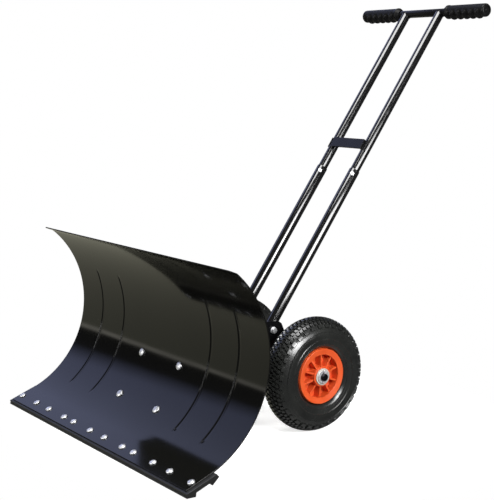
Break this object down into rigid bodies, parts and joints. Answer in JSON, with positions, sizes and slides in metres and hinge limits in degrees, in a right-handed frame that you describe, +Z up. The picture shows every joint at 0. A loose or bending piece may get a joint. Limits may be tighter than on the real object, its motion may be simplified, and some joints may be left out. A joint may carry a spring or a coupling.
{
  "type": "wheeled snow shovel",
  "caption": "Push-along snow shovel: a wide curved steel blade on a swinging bracket, a wheeled frame and a telescoping T-handle.",
  "frame": {"origin": "on the ground, under the middle of the bounding box", "axes": "+Z up, the blade faces -Y, the handle rises towards +Y, X along the blade"},
  "size_m": [0.756, 0.9414, 0.9821],
  "materials": {
    "blade_paint": "gloss black paint",
    "frame_paint": "gloss black powder coat",
    "zinc": "bright zinc plate",
    "axle_steel": "dark oiled steel",
    "wear_strip": "matt black moulded rubber",
    "tyre": "block tread, satin sidewall",
    "hub": "satin orange-red moulding",
    "bush": "cream nylon",
    "grip": "matt black, finger ridges below",
    "knob": "fine-grained black plastic"
  },
  "bodies": {
    "frame": {"pivot_plate_lower": "frame_paint", "pivot_plate_upper": "frame_paint", "pivot_sleeve": "frame_paint", "pivot_bolt": "zinc", "angle_knob_nut": "zinc", "side_plate_left": "frame_paint", "side_plate_right": "frame_paint", "frame_spreader": "frame_paint", "axle_tube": "frame_paint", "axle": "axle_steel", "axle_washer_left": "zinc", "axle_washer_right": "zinc", "cotter_pin_left": "zinc", "cotter_pin_right": "zinc", "lower_tube_left": "frame_paint", "lower_tube_right": "frame_paint", "foot_bolt_lower_left": "zinc", "foot_bolt_lower_right": "zinc", "foot_bolt_upper_left": "zinc", "foot_bolt_upper_right": "zinc"},
    "blade_assembly": {"blade": "blade_paint", "wear_strip": "wear_strip", "strip_bolt_01": "zinc", "strip_bolt_02": "zinc", "strip_bolt_03": "zinc", "strip_bolt_04": "zinc", "strip_bolt_05": "zinc", "strip_bolt_06": "zinc", "strip_bolt_07": "zinc", "strip_bolt_08": "zinc", "strip_bolt_09": "zinc", "strip_bolt_10": "zinc", "strip_bolt_11": "zinc", "strip_bolt_12": "zinc", "blade_bolt_upper_left": "zinc", "blade_bolt_upper_right": "zinc", "blade_bolt_lower_left": "zinc", "blade_bolt_lower_right": "zinc", "blade_mount_plate": "frame_paint", "bracket_gusset_left": "frame_paint", "bracket_gusset_right": "frame_paint", "yoke_plate_lower": "frame_paint", "yoke_plate_upper": "frame_paint"},
    "upper_handle": {"upper_tube_left": "frame_paint", "upper_tube_right": "frame_paint", "cross_plate": "frame_paint", "t_bar": "frame_paint", "grip_left": "grip", "grip_right": "grip"},
    "wheel_left": {"tyre_left": "tyre", "hub_left": "hub", "bush_outer_left": "bush", "bush_inner_left": "bush"},
    "wheel_right": {"tyre_right": "tyre", "hub_right": "hub", "bush_outer_right": "bush", "bush_inner_right": "bush"},
    "angle_knob": {"angle_knob": "knob"},
    "height_screw_left": {"height_screw_left": "zinc"},
    "height_screw_right": {"height_screw_right": "zinc"}
  },
  "joints": [
    {"name": "wheel_left_spin", "type": "hinge", "parent": "frame", "child": "wheel_left", "pos_m": [-0.146, 0.02056, 0.13], "axis": [1, 0, 0], "continuous": true},
    {"name": "wheel_right_spin", "type": "hinge", "parent": "frame", "child": "wheel_right", "pos_m": [0.146, 0.02056, 0.13], "axis": [1, 0, 0], "continuous": true},
    {"name": "blade_swing", "type": "hinge", "parent": "frame", "child": "blade_assembly", "pos_m": [0, -0.19444, 0.125], "axis": [0, 0, 1], "range_deg": [-30, 30]},
    {"name": "handle_slide", "type": "slide", "parent": "frame", "child": "upper_handle", "axis": [0, 0.5555, 0.8315], "range_m": [-0.05, 0.06]},
    {"name": "angle_knob_turn", "type": "hinge", "parent": "frame", "child": "angle_knob", "pos_m": [0, -0.13944, 0.17], "axis": [0, 0, 1], "range_deg": [0, 360]},
    {"name": "height_screw_left_turn", "type": "hinge", "parent": "frame", "child": "height_screw_left", "pos_m": [-0.058, 0.18856, 0.56826], "axis": [0.7071, -0.588, 0.3928], "range_deg": [0, 360]},
    {"name": "height_screw_right_turn", "type": "hinge", "parent": "frame", "child": "height_screw_right", "pos_m": [0.058, 0.18856, 0.56826], "axis": [0.7071, -0.588, 0.3928], "range_deg": [0, 360]}
  ]
}
